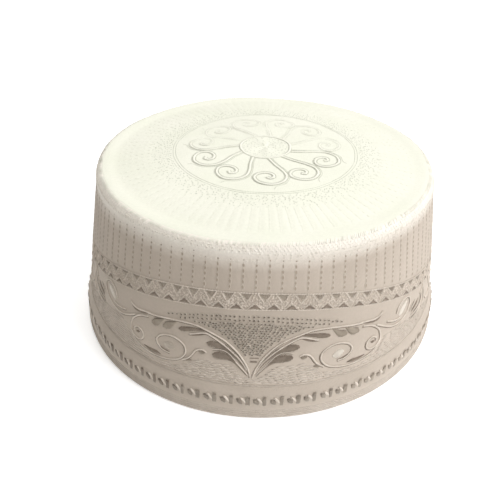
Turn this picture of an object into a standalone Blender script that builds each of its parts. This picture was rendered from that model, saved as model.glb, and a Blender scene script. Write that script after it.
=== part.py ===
# Round embroidered prayer cap with a domed top, a rolled edge, a tapering side and a turned hem.
# It rests on z = 0 with its front towards -Y. All sizes are in metres.

import math

import bmesh
import bpy

# Cloth and clearance
WALL_CLOTH = 0.0020
HEM_CLOTH = 0.0010
TOP_CLOTH = 0.0020
GAP = 0.0003

# Outer face of the side from the floor up: height, radius. The side narrows towards the top.
SIDE_ROWS = (
    {"height": 0.0000, "radius": 0.0927},
    {"height": 0.0100, "radius": 0.0919},
    {"height": 0.0170, "radius": 0.0909},
    {"height": 0.0285, "radius": 0.0893},
    {"height": 0.0500, "radius": 0.0857},
    {"height": 0.0759, "radius": 0.0811},
)

# Hem strip, folded round the bottom of the side
HEM_OUTSIDE_HEIGHT = 0.0170
HEM_INSIDE_HEIGHT = 0.0080
HEM_EDGE_FADE = 0.0035
HEM_EDGE_CLOTH = 0.0004
HEM_FOLD_ROUND = 0.0004

# Rolled edge between the side and the top
ROLL_TOP = 0.0814
ROLL_WIDTH = 0.0044
ROLL_CREST = 0.0031
ROLL_INNER_ROUND = 0.0013

# Top panel: its rim lies a little below the roll, and its middle is domed
TOP_RIM_HEIGHT = 0.0803
TOP_DOME_RISE = 0.0051
TOP_RIM_ROUND = 0.0006
TOP_RINGS = 6

# How the worn cloth leans: the shift of the top towards +X, and the fall of the top on that side
LEAN_SHIFT = 0.0024
LEAN_FALL = math.tan(math.radians(1.0))

SEGMENTS = 72
ARC_STEPS = 4
CREAM_TOP = (0.86, 0.83, 0.71, 1.0)
CREAM_SIDE = (0.62, 0.56, 0.47, 1.0)
CREAM_HEM = (0.60, 0.53, 0.44, 1.0)
CLOTH_ROUGHNESS = 0.9


def clear_scene():
    for item in list(bpy.data.objects):
        bpy.data.objects.remove(item, do_unlink=True)


def side_radius(height):
    """Outer radius of the side at a height, straight between the rows of the table."""
    for low, high in zip(SIDE_ROWS, SIDE_ROWS[1:]):
        if height <= high["height"]:
            break
    part = (height - low["height"]) / (high["height"] - low["height"])
    return low["radius"] + part * (high["radius"] - low["radius"])


def arc(middle, across, up, start, end, steps=ARC_STEPS):
    """Points of an ellipse in the radius and height plane, from one angle in degrees to another."""
    points = []
    for step in range(steps + 1):
        angle = math.radians(start + (end - start) * step / steps)
        points.append((middle[0] + across * math.cos(angle), middle[1] + up * math.sin(angle)))
    return points


def side_section():
    foot = HEM_CLOTH + GAP
    heights = [foot] + [row["height"] for row in SIDE_ROWS[1:]]
    outer = [(side_radius(height), height) for height in heights]
    inner = [(radius - WALL_CLOTH, height) for radius, height in reversed(outer)]
    return outer + inner


def hem_section():
    """The strip in section: up the outside, over its thin edge, down, under the side and up inside."""
    def outside(height):
        return side_radius(height) + GAP + HEM_CLOTH

    def inside(height):
        return side_radius(height) - WALL_CLOTH - GAP

    full = HEM_OUTSIDE_HEIGHT - HEM_EDGE_FADE
    thinned = HEM_CLOTH - HEM_EDGE_CLOTH
    points = [(outside(0.0) - HEM_FOLD_ROUND, 0.0), (outside(0.0), HEM_FOLD_ROUND)]
    points += [(outside(height), height) for height in (SIDE_ROWS[1]["height"], full)]
    for step in range(1, ARC_STEPS + 1):
        angle = math.radians(90.0 * step / ARC_STEPS)
        height = full + HEM_EDGE_FADE * math.sin(angle)
        points.append((outside(height) - thinned * (1.0 - math.cos(angle)), height))
    points += [(side_radius(height) + GAP, height)
               for height in (HEM_OUTSIDE_HEIGHT, SIDE_ROWS[1]["height"], HEM_CLOTH)]
    points += [(inside(height), height) for height in (HEM_CLOTH, HEM_INSIDE_HEIGHT)]
    points += [(inside(height) - HEM_CLOTH, height) for height in (HEM_INSIDE_HEIGHT, HEM_FOLD_ROUND)]
    points.append((inside(0.0) - HEM_CLOTH + HEM_FOLD_ROUND, 0.0))
    return points


def roll_section():
    """The roll in section: a tall round outside, a small round inside and a flat foot on the side."""
    foot = SIDE_ROWS[-1]["height"] + GAP
    outer_radius = SIDE_ROWS[-1]["radius"]
    inner_radius = outer_radius - ROLL_WIDTH
    crest_radius = outer_radius - ROLL_CREST
    outer = arc((crest_radius, foot), ROLL_CREST, ROLL_TOP - foot, 0.0, 90.0)
    inner = arc((inner_radius + ROLL_INNER_ROUND, ROLL_TOP - ROLL_INNER_ROUND),
                ROLL_INNER_ROUND, ROLL_INNER_ROUND, 90.0, 180.0, 3)
    return outer + inner + [(inner_radius, foot)]


def top_section():
    """Half of the top panel in section, from its middle over the dome and back underneath."""
    rim = SIDE_ROWS[-1]["radius"] - ROLL_WIDTH - GAP
    crown = rim - TOP_RIM_ROUND

    def dome(radius):
        return TOP_RIM_HEIGHT + TOP_DOME_RISE * (1.0 - (radius / rim) ** 2)

    radii = [crown * ring / TOP_RINGS for ring in range(TOP_RINGS + 1)]
    upper = [(radius, dome(radius)) for radius in radii]
    edge = [(rim, TOP_RIM_HEIGHT - TOP_RIM_ROUND),
            (rim, TOP_RIM_HEIGHT - TOP_CLOTH + TOP_RIM_ROUND)]
    lower = [(radius, dome(radius) - TOP_CLOTH) for radius in reversed(radii)]
    return upper + edge + lower


def settle(vertices):
    """Lean the cloth: nothing moves on the floor, and the full shift is at the height of the roll."""
    for vertex in vertices:
        share = vertex.co.z / ROLL_TOP
        vertex.co.x += share * LEAN_SHIFT
        vertex.co.z -= share * LEAN_FALL * vertex.co.x


def cloth_material(name, colour):
    material = bpy.data.materials.new(name)
    material.use_nodes = True
    shader = material.node_tree.nodes["Principled BSDF"]
    shader.inputs["Base Color"].default_value = colour
    shader.inputs["Roughness"].default_value = CLOTH_ROUGHNESS
    shader.inputs["Metallic"].default_value = 0.0
    return material


def turned_piece(name, section, is_ring, colour):
    """Spin a section of (radius, height) points round Z into one closed body."""
    body = bmesh.new()
    vertices = [body.verts.new((radius, 0.0, height)) for radius, height in section]
    edges = [body.edges.new(pair) for pair in zip(vertices, vertices[1:])]
    if is_ring:
        edges.append(body.edges.new((vertices[-1], vertices[0])))
    bmesh.ops.spin(body, geom=vertices + edges, axis=(0.0, 0.0, 1.0), cent=(0.0, 0.0, 0.0),
                   angle=2.0 * math.pi, steps=SEGMENTS, use_merge=True)
    bmesh.ops.remove_doubles(body, verts=body.verts, dist=0.000001)
    bmesh.ops.recalc_face_normals(body, faces=body.faces)
    settle(body.verts)
    mesh = bpy.data.meshes.new(name)
    body.to_mesh(mesh)
    body.free()
    mesh.shade_smooth()
    mesh.set_sharp_from_angle(angle=math.radians(50.0))
    mesh.materials.append(cloth_material(name + "_cloth", colour))
    piece = bpy.data.objects.new(name, mesh)
    bpy.context.scene.collection.objects.link(piece)
    return piece


def main():
    clear_scene()
    turned_piece("side_wall", side_section(), True, CREAM_SIDE)
    turned_piece("hem_strip", hem_section(), True, CREAM_HEM)
    turned_piece("edge_roll", roll_section(), True, CREAM_TOP)
    turned_piece("crown_top", top_section(), False, CREAM_TOP)


main()
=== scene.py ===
import math
import random

import bmesh
import bpy
import numpy as np
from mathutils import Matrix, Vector


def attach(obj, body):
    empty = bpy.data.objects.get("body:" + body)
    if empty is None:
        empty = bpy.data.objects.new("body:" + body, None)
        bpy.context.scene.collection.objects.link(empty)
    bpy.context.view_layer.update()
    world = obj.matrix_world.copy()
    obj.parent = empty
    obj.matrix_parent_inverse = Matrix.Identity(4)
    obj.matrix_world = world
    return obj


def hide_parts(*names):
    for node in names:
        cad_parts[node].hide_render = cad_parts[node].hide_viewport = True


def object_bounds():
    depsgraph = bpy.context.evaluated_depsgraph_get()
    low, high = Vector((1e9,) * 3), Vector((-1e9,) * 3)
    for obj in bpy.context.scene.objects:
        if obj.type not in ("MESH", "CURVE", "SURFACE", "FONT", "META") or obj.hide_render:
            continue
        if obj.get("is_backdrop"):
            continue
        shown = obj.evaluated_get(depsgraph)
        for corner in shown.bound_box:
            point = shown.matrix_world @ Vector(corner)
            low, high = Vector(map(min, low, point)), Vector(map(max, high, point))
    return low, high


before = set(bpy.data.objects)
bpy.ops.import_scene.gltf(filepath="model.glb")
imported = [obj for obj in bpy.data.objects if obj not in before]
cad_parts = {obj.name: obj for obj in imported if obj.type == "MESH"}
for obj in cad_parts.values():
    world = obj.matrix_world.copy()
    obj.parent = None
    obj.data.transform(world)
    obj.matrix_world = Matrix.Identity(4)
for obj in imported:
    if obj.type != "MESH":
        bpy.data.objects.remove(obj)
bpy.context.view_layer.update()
mm = 0.001
print("frame loaded:", sorted(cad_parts))

# the cap's plain shape, as its solids have it
cap = {
    "sideRows": ((0.0, 92.7), (10.0, 91.9), (17.0, 90.9), (28.5, 89.3), (50.0, 85.7), (75.9, 81.1)),
    "sideFoot": 1.3,
    "sideTop": 75.9,
    "tilt": 0.17,          # how far the side faces up
    "degree": 1.55,        # length of one degree of turn
    "wallCloth": 2.0,
    "gap": 0.3,
    "rollTop": 81.4,
    "rimHeight": 80.7,
    "domeRise": 4.7,
    "rim": 76.4,
    "topCloth": 2.0,
    "sewnRows": 102,
}

# how the worn cap leans, and the waves that its cloth strays in: share, count, twist with height, start
lean = {
    "shift": 2.4,
    "fall": math.tan(math.radians(1.0)),
    "side": 0.28,
    "top": 0.30,
    "waves": ((0.45, 3, 0.0, 0.9), (0.35, 5, 2.2, -1.7), (0.3, 9, 3.1, 0.4), (0.18, 17, 0.0, -2.0)),
}

# the arched border across the side: lowest line at the front, and its height
border = {
    "front": 54.2,
    "arch": 9.9,
    "flatten": 0.38,
    "twist": 6.6,
    "skew": 0.7,
    "height": 7.4,
    "widen": 0.07,
    "chevrons": 73,
    "pitch": 360.0 / 73.0,
    "quiltFrom": 1.2,
    "quiltSkew": 0.2,
}


def between(rows, value):
    # straight between the rows of a table
    for low, high in zip(rows, rows[1:]):
        if value <= high[0]:
            break
    return low[1] + (high[1] - low[1]) * (value - low[0]) / (high[0] - low[0])


def steps(start, end, pace):
    count = max(int(round(abs(end - start) / pace)), 1)
    return [start + (end - start) * i / count for i in range(count + 1)]


def ease(value, low, high):
    share = min(max((value - low) / (high - low), 0.0), 1.0)
    return share * share * (3 - 2 * share)


def closedRing(point, pace, start=0.0):
    ring = [point(turn) for turn in steps(start, start + 360.0, pace)[:-1]]
    return ring + ring[:1]


def sideRadius(height):
    return between(cap["sideRows"], height)


def borderHeight(turn, above):
    # so far above the border's lowest line; the border is a little wider on the wearer's right
    angle = math.radians(turn)
    fall = border["arch"] * (1 - math.cos(2 * angle)) - border["flatten"] * (1 - math.cos(4 * angle))
    fall += border["twist"] * math.sin(angle) ** 3 * math.cos(angle) - border["skew"] * math.sin(2 * angle)
    return border["front"] - fall + above * (1 - border["widen"] * math.sin(2 * angle))


def compass(turn, reach):
    angle = math.radians(turn)
    return reach * math.sin(angle), -reach * math.cos(angle)


def onWall(turn, height, lift=0.0, radius=None):
    reach = (sideRadius(height) if radius is None else radius) + lift
    return Vector((*compass(turn, reach), height + cap["tilt"] * lift)) * mm


def wallOut(turn):
    return Vector((*compass(turn, 1.0), cap["tilt"])).normalized()


def wallPoint(turn, height, lift=0.0, size=(1, 1, 1), radius=None):
    return onWall(turn, height, lift, radius), wallOut(turn), size


def wallStitch(turn, height, lift, degrees, size, radius=None):
    # one stitch on the side, turned up from level by degrees; its size is length, width and height
    angle, rise = math.radians(turn), math.radians(degrees)
    along = Vector((math.cos(angle) * math.cos(rise), math.sin(angle) * math.cos(rise), math.sin(rise)))
    return onWall(turn, height, lift, radius), wallOut(turn), along, size


def domeHeight(radius):
    return cap["rimHeight"] + cap["domeRise"] * (1 - (radius / cap["rim"]) ** 2)


def topPoint(x, y, lift, size=(1, 1, 1)):
    slope = 2 * cap["domeRise"] / cap["rim"] ** 2
    out = Vector((slope * x, slope * y, 1.0)).normalized()
    return Vector((x, y, domeHeight(math.hypot(x, y)) + lift)) * mm, out, size


def leanMesh(mesh):
    # every piece goes through this same bend, so threads stay on their cloth
    co = np.zeros(len(mesh.vertices) * 3)
    mesh.vertices.foreach_get("co", co)
    co = co.reshape(-1, 3)
    turn = np.arctan2(co[:, 0], -co[:, 1])
    share = np.clip(co[:, 2] / (cap["rollTop"] * mm), 0.0, 1.1)
    stray = sum(part * np.sin(count * turn + twist * share + start)
                for part, count, twist, start in lean["waves"])
    radius = np.hypot(co[:, 0], co[:, 1])
    swell = 1 + lean["side"] * mm * stray * np.minimum(share * 4, 1) / np.maximum(radius, 0.02)
    co[:, :2] *= swell[:, None]
    ripple = np.sin(70 * co[:, 0] + 1.1) * np.sin(62 * co[:, 1] - 0.4) + 0.6 * np.sin(4 * turn + 0.5)
    co[:, 2] += lean["top"] * mm * ripple * np.clip((share - 0.8) * 5, 0, 1)
    co[:, 0] += share * lean["shift"] * mm
    co[:, 2] -= share * lean["fall"] * co[:, 0]
    mesh.vertices.foreach_set("co", co.ravel())
    mesh.update()


# node helpers, for shader trees and geometry trees alike: an input is a plain value, a socket or a sum
# such as ("ADD", a, b)
def put(tree, kind, inputs=None, **settings):
    node = tree.nodes.new(kind)
    for key, value in settings.items():
        setattr(node, key, value)
    for key, value in (inputs or {}).items():
        if isinstance(value, tuple) and isinstance(value[0], str):
            value = calc(tree, *value)
        if isinstance(value, bpy.types.NodeSocket):
            tree.links.new(value, node.inputs[key])
        else:
            node.inputs[key].default_value = value
    return node


def calc(tree, operation, *values):
    return put(tree, "ShaderNodeMath", dict(enumerate(values)), operation=operation).outputs[0]


def vector(tree, operation, first, second):
    return put(tree, "ShaderNodeVectorMath", {0: first, 1: second}, operation=operation).outputs[0]


def join(tree, x, y, z):
    return put(tree, "ShaderNodeCombineXYZ", {"X": x, "Y": y, "Z": z}).outputs[0]


def split(tree, value):
    return put(tree, "ShaderNodeSeparateXYZ", {"Vector": value}).outputs


def spread(tree, value, low, high, first=0.0, last=1.0):
    return put(tree, "ShaderNodeMapRange", {"Value": value, "From Min": low, "From Max": high,
                                            "To Min": first, "To Max": last}).outputs[0]


def noise(tree, where, scale, detail):
    return put(tree, "ShaderNodeTexNoise", {"Vector": where, "Scale": scale, "Detail": detail}).outputs[0]


def attribute(tree, name):
    return put(tree, "GeometryNodeInputNamedAttribute", {"Name": name}, data_type="FLOAT_VECTOR").outputs[0]


def newTree(name, sockets):
    tree = bpy.data.node_groups.new(name, "GeometryNodeTree")
    for label, kind in {"Geometry": "Geometry", **sockets}.items():
        tree.interface.new_socket(label, in_out="INPUT", socket_type="NodeSocket" + kind)
    tree.interface.new_socket("Geometry", in_out="OUTPUT", socket_type="NodeSocketGeometry")
    return tree, tree.nodes.new("NodeGroupInput").outputs


def closeTree(tree, geometry, material):
    real = put(tree, "GeometryNodeRealizeInstances", {"Geometry": geometry})
    dressed = put(tree, "GeometryNodeSetMaterial", {"Geometry": real.outputs[0], "Material": material})
    put(tree, "NodeGroupOutput", {"Geometry": dressed.outputs[0]})
    return tree


def link(thing):
    bpy.context.scene.collection.objects.link(thing)
    return thing


def growPiece(name, guide, tree, values, closed=False):
    maker = guide.modifiers.new(tree.name, "NODES")
    maker.node_group = tree
    for item in tree.interface.items_tree:
        if item.in_out == "INPUT" and item.name in values:
            maker[item.identifier] = values[item.name]
    grown = link(guide).evaluated_get(bpy.context.evaluated_depsgraph_get())
    mesh = bpy.data.meshes.new_from_object(grown)
    bpy.data.objects.remove(guide, do_unlink=True)
    if closed:
        body = bmesh.new()
        body.from_mesh(mesh)
        bmesh.ops.remove_doubles(body, verts=body.verts, dist=0.000002)
        bmesh.ops.recalc_face_normals(body, faces=body.faces)
        body.to_mesh(mesh)
        body.free()
    leanMesh(mesh)
    mesh.name = name
    mesh.shade_smooth()
    print(f"{name}: {sum(len(p.vertices) - 2 for p in mesh.polygons)} triangles")
    return link(bpy.data.objects.new(name, mesh))


def newGuide(name, places, edges=(), **columns):
    # points, joined by edges or loose, with a vector for each in every column
    mesh = bpy.data.meshes.new(name)
    mesh.from_pydata(places, edges, [])
    for label, values in columns.items():
        mesh.attributes.new(label, "FLOAT_VECTOR", "POINT").data.foreach_set("vector", np.ravel(values))
    return bpy.data.objects.new(name, mesh)


def threadGuide(name, lines):
    # lines of points; each point is (place, outward, size)
    points, edges = [], []
    for line in lines:
        loop = line[0] == line[-1] and len(line) > 2
        start, count = len(points), len(line) - 1 if loop else len(line)
        points += line[:count]
        edges += [(start + i, start + i + 1) for i in range(count - 1)]
        if loop:
            edges.append((start + count - 1, start))
    places, outs, sizes = zip(*points)
    return newGuide(name, places, edges, outward=outs, size=sizes)


# shapes of single stitches
def newShape(name, places, faces):
    mesh = bpy.data.meshes.new(name)
    mesh.from_pydata(places, [], faces)
    mesh.shade_smooth()
    return bpy.data.objects.new(name, mesh)


def circle(around):
    angles = [2 * math.pi * side / around for side in range(around)]
    return [(math.cos(angle), math.sin(angle)) for angle in angles]


def tubeFaces(rings, around, first=0):
    # faces between rings of points
    faces = []
    for low in range(first, first + (rings - 1) * around, around):
        for side in range(around):
            after = (side + 1) % around
            faces.append((low + side, low + after, low + around + after, low + around + side))
    return faces


def stitchShape(name, around, along, power=0.8):
    # a spindle one unit long, wide and high, with closed ends
    places = [(-0.5, 0.0, 0.0)]
    for step in range(1, along):
        x = -0.5 + step / along
        girth = 0.5 * max(1 - (2 * x) ** 2, 0.0) ** (0.5 * power)
        places += [(x, girth * across, girth * up) for across, up in circle(around)]
    places.append((0.5, 0.0, 0.0))
    last, ring = len(places) - 1, 1 + (along - 2) * around
    faces = [(0, 1 + (side + 1) % around, 1 + side) for side in range(around)]
    faces += tubeFaces(along - 1, around, 1)
    faces += [(last, ring + side, ring + (side + 1) % around) for side in range(around)]
    return newShape(name, places, faces)


def eyeletShape(name, around=6):
    # a small round dip with a raised lip; its attribute is 1 at its bottom, where the material paints shade
    # into the dip
    rings = ((1.0, -0.15, 0.0), (0.86, 0.7, 0.0), (0.64, 0.5, 0.65), (0.34, 0.1, 1.0))
    places, pitShades = [], []
    for radius, height, pit in rings:
        places += [(0.5 * radius * x, 0.5 * radius * y, height) for x, y in circle(around)]
        pitShades += [pit] * around
    places += [(0.0, 0.0, 0.1), (0.0, 0.0, -0.15)]
    top, under, inner = len(places) - 2, len(places) - 1, (len(rings) - 1) * around
    faces = tubeFaces(len(rings), around)
    faces += [(inner + side, inner + (side + 1) % around, top) for side in range(around)]
    faces += [((side + 1) % around, side, under) for side in range(around)]
    shape = newShape(name, places, faces)
    shape.data.attributes.new("pit", "FLOAT", "POINT").data.foreach_set("value", pitShades + [1.0, 0.0])
    return shape


# the four geometry trees
def uneven(tree, given):
    # a random vector for each stitch, within the unevenness
    rough = put(tree, "FunctionNodeRandomValue",
                {"Seed": given["Seed"], "Min": (-1, -1, -1), "Max": (1, 1, 1)}, data_type="FLOAT_VECTOR")
    return put(tree, "ShaderNodeVectorMath", {0: rough.outputs[0], "Scale": given["Unevenness"]},
               operation="SCALE").outputs[0]


def upright(tree, along):
    # turned along a direction, with its top to the guide's outward side
    turned = put(tree, "FunctionNodeAlignRotationToVector", {"Vector": along}, axis="X").outputs[0]
    inputs = {"Rotation": turned, "Vector": attribute(tree, "outward")}
    return put(tree, "FunctionNodeAlignRotationToVector", inputs, axis="Z", pivot_axis="X").outputs[0]


def varied(tree, size, loose):
    return vector(tree, "MULTIPLY", size, vector(tree, "ADD", loose, (1, 1, 1)))


def turnedBy(tree, angle):
    return put(tree, "FunctionNodeAxisAngleToRotation", {"Axis": (0, 0, 1), "Angle": angle}).outputs[0]


def layStitches(tree, given, points, rotation, scale):
    stitch = put(tree, "GeometryNodeObjectInfo", {"Object": given["Stitch"]}).outputs["Geometry"]
    laid = put(tree, "GeometryNodeInstanceOnPoints",
               {"Points": points, "Instance": stitch, "Rotation": rotation, "Scale": scale})
    return closeTree(tree, laid.outputs[0], given["Thread"])


def lineTree():
    # stitches laid one after another along the guide's lines
    tree, given = newTree("stitchesAlongLine", {
        "Stitch": "Object", "Pitch": "Float", "Length": "Float", "Width": "Float", "Height": "Float",
        "Slant": "Float", "Unevenness": "Float", "Seed": "Int", "Thread": "Material"})
    curve = put(tree, "GeometryNodeMeshToCurve", {"Mesh": given["Geometry"]}).outputs[0]
    spaced = put(tree, "GeometryNodeResampleCurve", {"Curve": curve, "Length": given["Pitch"]}, mode="LENGTH")
    tangent = put(tree, "GeometryNodeInputTangent").outputs[0]
    loose = uneven(tree, given)
    slant = ("ADD", given["Slant"], ("MULTIPLY", split(tree, loose)[0], 0.6))
    turned = put(tree, "FunctionNodeRotateRotation",
                 {"Rotation": upright(tree, tangent), "Rotate By": turnedBy(tree, slant)},
                 rotation_space="LOCAL").outputs[0]
    size = vector(tree, "MULTIPLY", join(tree, given["Length"], given["Width"], given["Height"]),
                  attribute(tree, "size"))
    return layStitches(tree, given, spaced.outputs[0], turned, varied(tree, size, loose))


def spotTree():
    # one stitch on each point of the guide, turned as the point says
    tree, given = newTree("stitchesOnSpots", {
        "Stitch": "Object", "Unevenness": "Float", "Seed": "Int", "Thread": "Material"})
    scale = varied(tree, attribute(tree, "size"), uneven(tree, given))
    return layStitches(tree, given, given["Geometry"], upright(tree, attribute(tree, "along")), scale)


def ringTree():
    # copies of one long stitch round the cap, each turned by its share of the circle
    tree, given = newTree("stitchesRoundRim", {
        "Stitch": "Object", "Count": "Int", "Unevenness": "Float", "Seed": "Int", "Thread": "Material"})
    points = put(tree, "GeometryNodePoints", {"Count": given["Count"], "Radius": mm}).outputs[0]
    index = put(tree, "GeometryNodeInputIndex").outputs[0]
    loose = split(tree, uneven(tree, given))
    angle = ("MULTIPLY", ("DIVIDE", ("ADD", index, loose[0]), given["Count"]), 2 * math.pi)
    puff = calc(tree, "ADD", 1.0, ("MULTIPLY", loose[1], 0.01))
    return layStitches(tree, given, points, turnedBy(tree, angle), join(tree, puff, puff, puff))


def clothTree():
    # turns a section of (radius, 0, height) points round the cap and quilts it between its sewn rows
    tree, given = newTree("turnedCloth", {
        "Columns": "Int", "Rows": "Int", "Around": "Float", "Across": "Float", "Sewn Rows": "Int",
        "Quilting": "Float", "Above Border": "Float", "Unevenness": "Float", "Grain": "Float",
        "Cloth": "Material"})
    grid = put(tree, "GeometryNodeMeshGrid", {"Size X": 1.0, "Size Y": 1.0, "Vertices Y": given["Rows"],
                                              "Vertices X": ("ADD", given["Columns"], 1)})
    flat = vector(tree, "MULTIPLY", grid.outputs["UV Map"], join(tree, given["Around"], given["Across"], 0.0))
    mapped = put(tree, "GeometryNodeStoreNamedAttribute",
                 {"Geometry": grid.outputs[0], "Name": "weave", "Value": flat},
                 data_type="FLOAT2", domain="CORNER").outputs[0]
    index = put(tree, "GeometryNodeInputIndex").outputs[0]
    row = calc(tree, "MODULO", index, given["Rows"])
    column = ("FLOOR", ("DIVIDE", ("ADD", index, 0.5), given["Rows"]))
    angle = calc(tree, "MULTIPLY", ("DIVIDE", column, given["Columns"]), 2 * math.pi)
    sine, cosine = calc(tree, "SINE", angle), calc(tree, "COSINE", angle)

    def picked(source):
        sample = put(tree, "GeometryNodeSampleIndex",
                     {"Geometry": given["Geometry"], "Value": source, "Index": row}, data_type="FLOAT_VECTOR")
        return split(tree, sample.outputs[0])

    spot, push = picked(put(tree, "GeometryNodeInputPosition").outputs[0]), picked(attribute(tree, "push"))
    radius, height = spot[0], spot[2]
    # quilting: cloth swells between the sewn rows, above the arched border where that is asked for
    halfWaves = ("MULTIPLY", angle, ("MULTIPLY", given["Sewn Rows"], 0.5))
    swell = ("POWER", ("ABSOLUTE", ("SINE", halfWaves)), 0.65)
    twist = ("MULTIPLY", ("POWER", ("ABSOLUTE", sine), 3.0), ("MULTIPLY", ("SIGN", sine), cosine))
    twice, fourfold = ("MULTIPLY", angle, 2.0), ("MULTIPLY", angle, 4.0)
    line = (border["front"] + border["height"] + border["quiltFrom"]) * mm
    for wave, share in ((("SUBTRACT", 1.0, ("COSINE", twice)), -border["arch"]),
                        (("SUBTRACT", 1.0, ("COSINE", fourfold)), border["flatten"]),
                        (twist, -border["twist"]), (("SINE", twice), border["quiltSkew"])):
        line = ("ADD", line, ("MULTIPLY", wave, share * mm))
    above = spread(tree, ("SUBTRACT", height, line), 0.0, 2 * mm)
    mask = spread(tree, given["Above Border"], 0.0, 1.0, 1.0, above)
    quilt = ("MULTIPLY", ("MULTIPLY", swell, mask), push[1])
    where = join(tree, ("MULTIPLY", sine, radius), ("MULTIPLY", cosine, radius), height)
    rough = ("MULTIPLY", ("SUBTRACT", noise(tree, where, given["Grain"], 2.0), 0.5), given["Unevenness"])
    lift = calc(tree, "ADD", ("MULTIPLY", quilt, given["Quilting"]), rough)
    reach = calc(tree, "ADD", radius, ("MULTIPLY", lift, push[0]))
    place = join(tree, ("MULTIPLY", sine, reach), ("MULTIPLY", ("MULTIPLY", cosine, -1.0), reach),
                 ("ADD", height, ("MULTIPLY", lift, push[2])))
    shaped = put(tree, "GeometryNodeSetPosition", {"Geometry": mapped, "Position": place})
    return closeTree(tree, shaped.outputs[0], given["Cloth"])


alongLine, onSpots, roundRim, turnedCloth = lineTree(), spotTree(), ringTree(), clothTree()
cordStitch = stitchShape("cordStitch", 6, 3)
satinStitch = stitchShape("satinStitch", 6, 5, 0.6)
runStitch = stitchShape("runStitch", 6, 4)
seedStitch = stitchShape("seedStitch", 5, 3)
eyelet = eyeletShape("eyelet")
print("trees and stitches ready")

# materials: cloth and thread alike are matt, with a little sheen
soft = {"Sheen Roughness": 0.5, "Specular IOR Level": 0.25}
clothLook = {
    "threadPitch": 1.1,      # weave, mm from thread to thread
    "weaveDepth": 0.06,
    "fibreDepth": 0.13,
    "roughness": 0.88,
    "sheen": 0.15,
}


def newMaterial(name, values):
    material = bpy.data.materials.new(name)
    material.use_nodes = True
    inputs = material.node_tree.nodes["Principled BSDF"].inputs
    for key, value in values.items():
        inputs[key].default_value = value
    where = put(material.node_tree, "ShaderNodeTexCoord").outputs["Object"]
    return material, material.node_tree, inputs, where


def mixColour(tree, share, *tones):
    first, second = [(*tone, 1) if isinstance(tone, tuple) else tone for tone in tones]
    return put(tree, "ShaderNodeMix", {0: share, 6: first, 7: second}, data_type="RGBA").outputs[2]


def clothMaterial(name, colour, shade, flat=False, fades=()):
    # plain-woven cotton: crossed threads, fine fibres, faint cloudy tone; flat cloth reads object places
    material, tree, inputs, where = newMaterial(name, {
        "Roughness": clothLook["roughness"], "Sheen Weight": clothLook["sheen"], **soft})
    across = split(tree, where if flat else put(tree, "ShaderNodeUVMap", uv_map="weave").outputs[0])
    turns = 2 * math.pi / (clothLook["threadPitch"] * mm)
    warp, weft = [("SINE", ("MULTIPLY", across[i], turns)) for i in (0, 1)]
    fibre = noise(tree, where, 950.0, 4.0)
    cloudy = spread(tree, noise(tree, where, 45.0, 4.0), 0.35, 0.7)
    tone = mixColour(tree, cloudy, shade, colour)
    height = split(tree, where)[2]
    # each fade paints a tone by height; the rim and hem fades are painted light
    for fade, start, end in fades:
        tone = mixColour(tree, spread(tree, height, start * mm, end * mm), tone, fade)
    speck = spread(tree, fibre, 0.3, 0.7, 0.0, 0.16)
    tree.links.new(mixColour(tree, speck, tone, tuple(c * 0.72 for c in shade)), inputs["Base Color"])
    fine = put(tree, "ShaderNodeBump", {"Strength": 0.8, "Distance": clothLook["fibreDepth"] * mm,
                                        "Height": fibre})
    woven = put(tree, "ShaderNodeBump", {"Strength": 0.8, "Distance": clothLook["weaveDepth"] * mm,
                                         "Height": ("MULTIPLY", warp, weft), "Normal": fine.outputs[0]})
    tree.links.new(woven.outputs[0], inputs["Normal"])
    return material


def threadMaterial(name, colour, shade, roughness=0.7, sheen=0.2, pit=None):
    # spun thread: fine strands, a darker tone here and there, and painted shade at the bottom of a dip where
    # a tone for it is given
    material, tree, inputs, where = newMaterial(name, {"Roughness": roughness, "Sheen Weight": sheen, **soft})
    tone = mixColour(tree, spread(tree, noise(tree, where, 300.0, 3.0), 0.35, 0.65), shade, colour)
    if pit:
        # painted shade: the dip's bottom darkens to the given tone
        pitShadeMask = put(tree, "ShaderNodeAttribute", attribute_name="pit").outputs["Fac"]
        tone = mixColour(tree, pitShadeMask, tone, pit)
    tree.links.new(tone, inputs["Base Color"])
    bump = put(tree, "ShaderNodeBump", {"Strength": 0.7, "Distance": 0.06 * mm,
                                        "Height": noise(tree, where, 2600.0, 2.0)})
    tree.links.new(bump.outputs[0], inputs["Normal"])
    return material


# each fade is (tone, start height, full height): painted highlight at the rim, painted floor bounce at the
# hem, a paler lower side towards the foot
sideTones = ((0.545, 0.466, 0.384), (0.503, 0.428, 0.349))
# painted highlight: the side and roll pale towards cream where they turn up to the light
rimPaintedHighlight = ((0.90, 0.845, 0.748), 70.5, 79.0)
footFade = ((0.585, 0.502, 0.415), 38.0, 21.0)
# painted light: the hem pales towards its foot, as floor light bounced up onto it
hemPaintedBounceLight = ((0.63, 0.55, 0.465), 8.5, 2.0)
sideCotton = clothMaterial("sideCotton", *sideTones, fades=(rimPaintedHighlight, footFade))
hemCotton = clothMaterial("hemCotton", (0.55, 0.472, 0.39), (0.51, 0.436, 0.357), fades=(hemPaintedBounceLight,))
topCotton = clothMaterial("topCotton", (0.815, 0.805, 0.692), (0.785, 0.785, 0.658), flat=True)
rollCotton = clothMaterial("rollCotton", *sideTones, fades=(rimPaintedHighlight,))
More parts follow.
